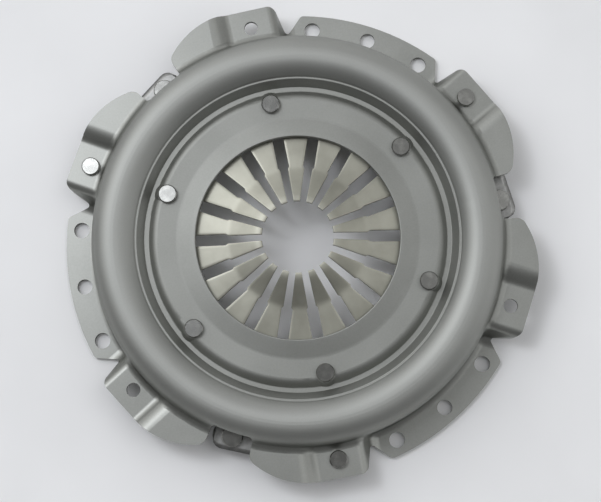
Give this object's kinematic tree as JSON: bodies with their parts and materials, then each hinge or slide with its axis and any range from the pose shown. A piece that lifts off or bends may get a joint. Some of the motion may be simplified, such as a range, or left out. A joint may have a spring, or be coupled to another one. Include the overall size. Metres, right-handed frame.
{
  "type": "clutch pressure plate",
  "caption": "Diaphragm spring clutch cover assembly: pressed steel cover with bolting flange, slotted spring fingers, and a cast plate on leaf straps that clamps the clutch disc.",
  "frame": {"origin": "centre of the bolt circle, on the flange face that bolts to the flywheel", "axes": "+Z along the shaft towards the gearbox, +X through the first drive lug"},
  "size_m": [0.247, 0.2544, 0.0368],
  "materials": {
    "cover_steel": "satin blasted pressed steel",
    "spring_steel": "polished hardened spring steel",
    "grey_iron": "cast, with a ground friction face",
    "wire_steel": "drawn wire",
    "strap_steel": "rolled spring strip",
    "rivet_steel": "black oxide"
  },
  "bodies": {
    "cover": {"clutch_cover": "cover_steel", "diaphragm_spring": "spring_steel", "drive_strap_1_lower": "strap_steel", "drive_strap_1_middle": "strap_steel", "drive_strap_1_upper": "strap_steel", "drive_strap_2_lower": "strap_steel", "drive_strap_2_middle": "strap_steel", "drive_strap_2_upper": "strap_steel", "drive_strap_3_lower": "strap_steel", "drive_strap_3_middle": "strap_steel", "drive_strap_3_upper": "strap_steel", "fulcrum_ring": "wire_steel", "fulcrum_rivet_1": "rivet_steel", "fulcrum_rivet_2": "rivet_steel", "fulcrum_rivet_3": "rivet_steel", "fulcrum_rivet_4": "rivet_steel", "fulcrum_rivet_5": "rivet_steel", "fulcrum_rivet_6": "rivet_steel", "strap_rivet_1": "rivet_steel", "strap_rivet_2": "rivet_steel", "strap_rivet_3": "rivet_steel"},
    "pressure_plate": {"lug_rivet_1": "rivet_steel", "lug_rivet_2": "rivet_steel", "lug_rivet_3": "rivet_steel", "pressure_plate": "grey_iron"}
  },
  "joints": [
    {"name": "plate_lift", "type": "slide", "parent": "cover", "child": "pressure_plate", "axis": [0, 0, 1], "range_m": [0, 0.0036], "stiffness_N_per_m": 4000, "deforming": ["diaphragm_spring", "drive_strap_1_lower", "drive_strap_1_middle", "drive_strap_1_upper", "drive_strap_2_lower", "drive_strap_2_middle", "drive_strap_2_upper", "drive_strap_3_lower", "drive_strap_3_middle", "drive_strap_3_upper"]}
  ]
}
